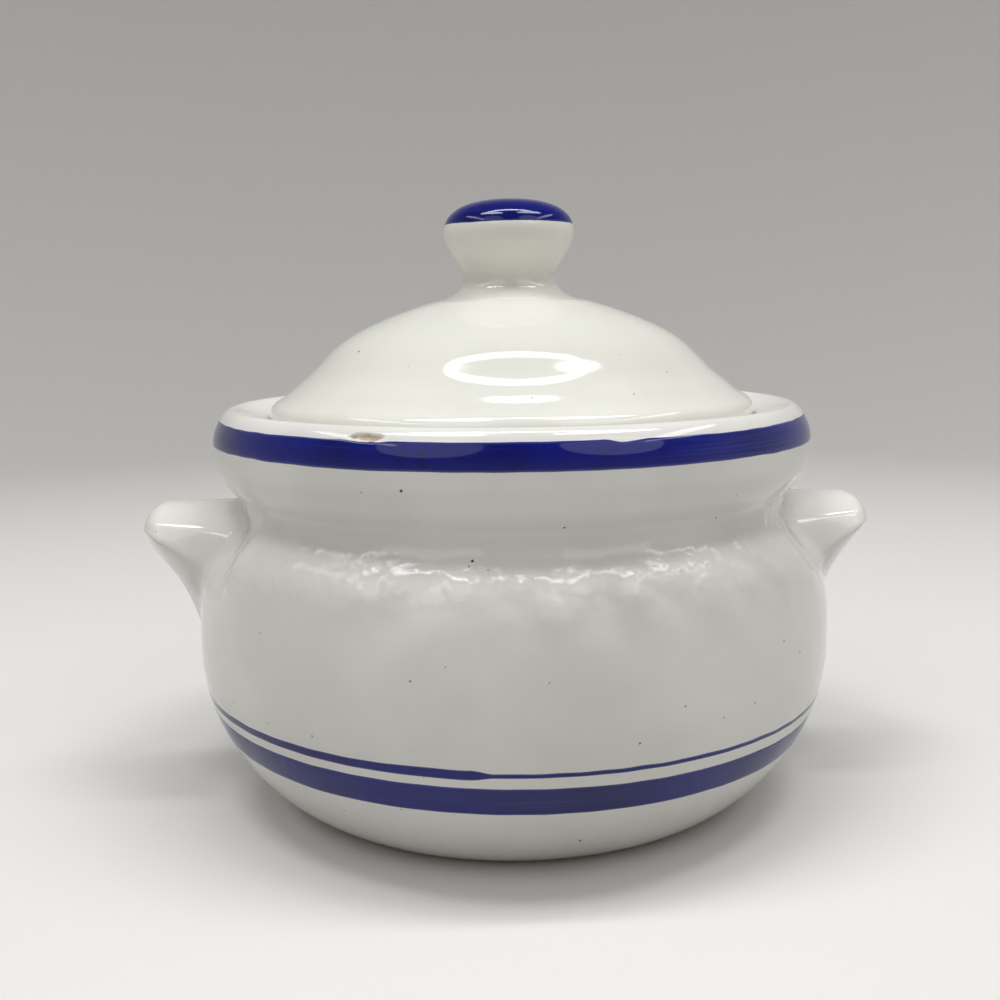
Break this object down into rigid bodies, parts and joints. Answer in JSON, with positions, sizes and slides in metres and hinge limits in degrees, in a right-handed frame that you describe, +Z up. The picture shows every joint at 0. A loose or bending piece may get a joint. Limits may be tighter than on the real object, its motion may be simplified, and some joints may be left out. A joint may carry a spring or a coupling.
{
  "type": "lidded stoneware crock",
  "caption": "Bellied stoneware pot with solid lug handles, a thick collared rim, a loose domed lid with a turned knob, and painted bands on rim, base and knob.",
  "frame": {"origin": "middle of the foot ring, on the table", "axes": "+Z up along the pot's axis; the lug handles lie along X; -Y is the side that the picture shows"},
  "size_m": [0.208, 0.178, 0.1649],
  "materials": {
    "crock_glaze": "glossy off-white glaze with fine iron specks",
    "lid_glaze": "glossy warm grey-white glaze with fine iron specks",
    "cobalt": "glossy brushed cobalt blue under the glaze"
  },
  "bodies": {
    "crock": {"crock_body": "crock_glaze", "lug_left": "crock_glaze", "lug_right": "crock_glaze", "rim_band": "cobalt", "base_band": "cobalt", "base_line": "cobalt"},
    "lid": {"lid": "lid_glaze", "knob": "lid_glaze", "knob_cap": "cobalt"}
  },
  "joints": [
    {"name": "lid_lift", "type": "slide", "parent": "crock", "child": "lid", "axis": [0, 0, 1], "range_m": [0, 0.12]}
  ]
}
